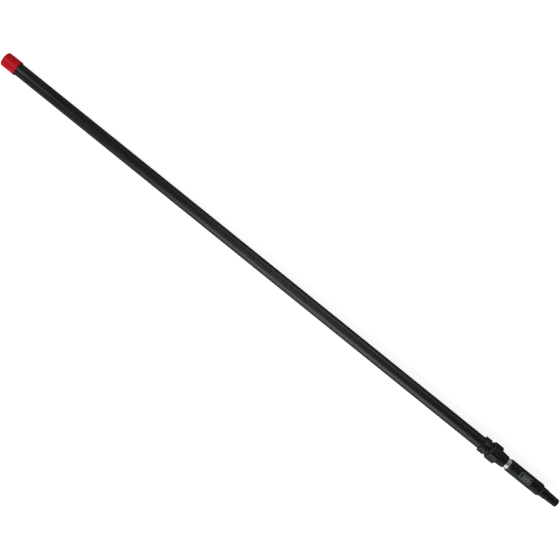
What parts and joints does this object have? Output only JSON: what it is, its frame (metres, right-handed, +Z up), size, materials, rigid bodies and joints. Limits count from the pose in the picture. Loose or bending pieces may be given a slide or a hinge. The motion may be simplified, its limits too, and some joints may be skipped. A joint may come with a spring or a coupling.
{
  "type": "telescopic extension pole",
  "caption": "Two-section twist-lock telescopic pole with a black outer tube, silver inner tube, red butt cap, lobed lock collar and a push-on locking cone with a stepped taper.",
  "frame": {"origin": "on the floor under the middle of the collapsed pole; the pole's axis is 17.30 mm above it", "axes": "+X along the pole from the butt cap to the tip of the locking cone, +Z up, with the pole lying on the floor"},
  "size_m": [1.3353, 0.0374, 0.0369],
  "materials": {
    "outer_tube": "satin black coated aluminium",
    "inner_tube": "satin drawn and anodised",
    "end_cap": "satin soft red vinyl",
    "bump_stop": "matt moulded rubber",
    "stop_ring": "natural acetal",
    "collar_body": "fine-grained black nylon",
    "collar_rivet": "satin steel",
    "slip_washer": "natural acetal",
    "collet": "natural acetal",
    "lock_nut": "fine-grained black nylon",
    "wiper_ring": "pressed felt",
    "guide_ring": "matt rubber",
    "tube_guide": "black nylon",
    "pin": "satin steel",
    "cone_body": "fine-grained black nylon",
    "cone_nose": "fine-grained black nylon",
    "cone_label": null
  },
  "bodies": {
    "pole": {"outer_tube": "outer_tube", "end_cap": "end_cap", "bump_stop": "bump_stop", "stop_ring": "stop_ring", "collar_body": "collar_body", "collar_rivet_left": "collar_rivet", "collar_rivet_right": "collar_rivet"},
    "clamp": {"slip_washer": "slip_washer", "collet": "collet"},
    "nut": {"lock_nut": "lock_nut", "wiper_ring": "wiper_ring"},
    "carriage": {"guide_ring_rear": "guide_ring", "guide_ring_front": "guide_ring"},
    "inner": {"inner_tube": "inner_tube", "tube_guide": "tube_guide", "guide_pin": "pin", "cone_body": "cone_body", "cone_nose": "cone_nose", "cone_pin_rear": "pin", "cone_pin_front": "pin", "cone_label": "cone_label"}
  },
  "joints": [
    {"name": "nut_travel", "type": "slide", "parent": "pole", "child": "clamp", "axis": [1, 0, 0], "range_m": [0, 0.002]},
    {"name": "nut_twist", "type": "hinge", "parent": "clamp", "child": "nut", "pos_m": [0.52, 0, 0.0173], "axis": [1, 0, 0], "range_deg": [0, 180]},
    {"name": "extend", "type": "slide", "parent": "pole", "child": "carriage", "axis": [1, 0, 0], "range_m": [0, 1.084]},
    {"name": "inner_turn", "type": "hinge", "parent": "carriage", "child": "inner", "pos_m": [0, 0, 0.0173], "axis": [1, 0, 0], "continuous": true}
  ],
  "couplings": [
    {"joint": "nut_twist", "follows": "nut_travel", "rad_per_m": 1570.8}
  ]
}
